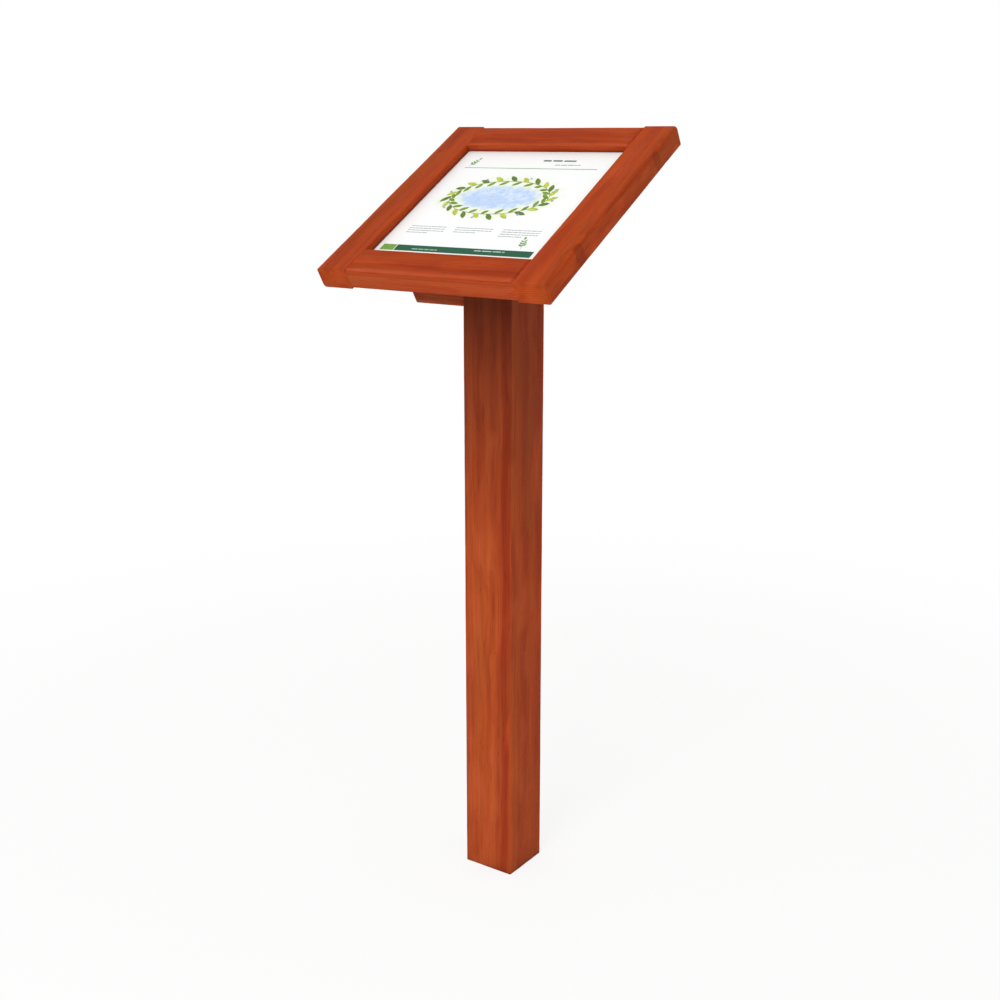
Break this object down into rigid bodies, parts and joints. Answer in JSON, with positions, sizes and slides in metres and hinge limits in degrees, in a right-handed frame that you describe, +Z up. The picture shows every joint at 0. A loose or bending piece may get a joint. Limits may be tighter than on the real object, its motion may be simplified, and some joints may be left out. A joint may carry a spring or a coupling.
{
  "type": "park interpretation sign",
  "caption": "Stained timber lectern sign: a square post carries a tilted square frame that holds a printed panel for standing readers.",
  "frame": {"origin": "centre of the post's sawn foot, on the ground", "axes": "+Z up along the post, -Y towards the reader, +X to the reader's right"},
  "size_m": [0.455, 0.413, 1.3375],
  "materials": {
    "post_timber": "stained softwood, open grain",
    "frame_timber": "stained softwood, open grain",
    "batten_timber": "stained sawn softwood",
    "dowel_timber": "plain beech",
    "plywood": "sealed plywood",
    "print": "satin printed film",
    "panel_core": "smooth laminate",
    "foam_tape": "closed-cell foam",
    "stainless": "passivated stainless steel",
    "galvanised": "hot-dip galvanised"
  },
  "bodies": {
    "root": {"post": "post_timber", "side_cleat": "post_timber", "left_stile": "frame_timber", "right_stile": "frame_timber", "bottom_rail": "frame_timber", "top_rail": "frame_timber", "lower_batten": "batten_timber", "upper_batten": "batten_timber", "left_bead": "batten_timber", "right_bead": "batten_timber", "bottom_bead": "batten_timber", "top_bead": "batten_timber", "corner_dowels": "dowel_timber", "backing_board": "plywood", "printed_sheet": "print", "print_panel": "panel_core", "panel_gasket": "foam_tape", "head_screws": "stainless", "batten_screws": "stainless", "bead_screws": "stainless", "cleat_screws": "galvanised", "cleat_washers": "galvanised", "ground_socket": "galvanised", "cleat_top_screws": "stainless"}
  },
  "joints": []
}
